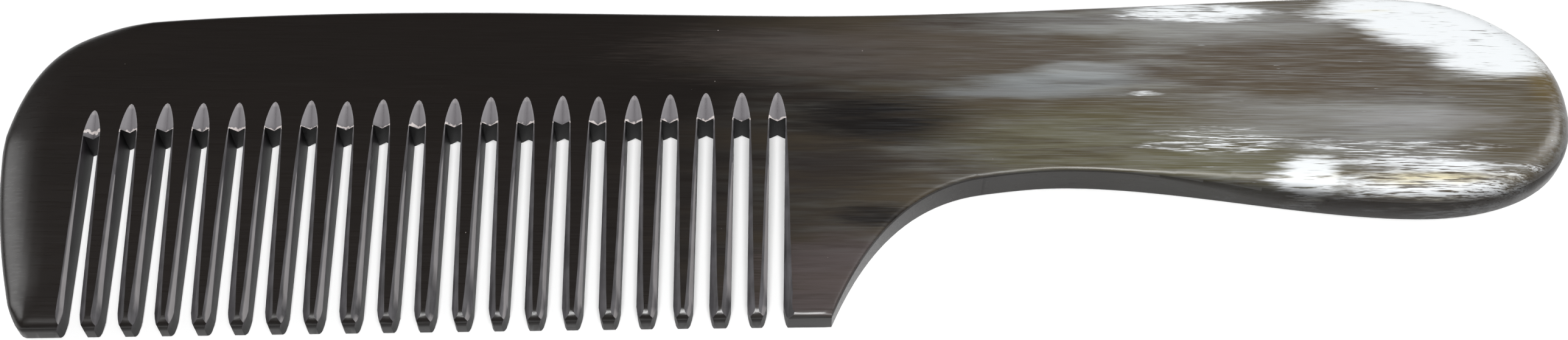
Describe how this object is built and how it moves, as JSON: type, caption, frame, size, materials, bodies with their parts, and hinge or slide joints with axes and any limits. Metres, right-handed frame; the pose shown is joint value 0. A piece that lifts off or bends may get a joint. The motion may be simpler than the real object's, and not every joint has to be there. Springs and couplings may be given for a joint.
{
  "type": "beard comb",
  "caption": "Flat one-piece horn comb for beards, with a row of wide-spaced teeth between two guard teeth and a rounded handle in line with its back.",
  "frame": {"origin": "middle of the comb's box, on the flat back face that it lies on", "axes": "+X along the length from the nose towards the butt of the handle; the teeth point to -Y; +Z out of the front face"},
  "size_m": [0.165, 0.0394, 0.0048],
  "materials": {
    "horn_dark": "horn, near-black brown, polished to a satin sheen",
    "horn_olive": "horn, olive brown with grey and cream streaks, polished"
  },
  "bodies": {
    "root": {"spine": "horn_dark", "handle": "horn_olive", "front_guard": "horn_dark", "rear_guard": "horn_dark", "tooth_01": "horn_dark", "tooth_02": "horn_dark", "tooth_03": "horn_dark", "tooth_04": "horn_dark", "tooth_05": "horn_dark", "tooth_06": "horn_dark", "tooth_07": "horn_dark", "tooth_08": "horn_dark", "tooth_09": "horn_dark", "tooth_10": "horn_dark", "tooth_11": "horn_dark", "tooth_12": "horn_dark", "tooth_13": "horn_dark", "tooth_14": "horn_dark", "tooth_15": "horn_dark", "tooth_16": "horn_dark", "tooth_17": "horn_dark", "tooth_18": "horn_dark", "tooth_19": "horn_dark"}
  },
  "joints": []
}
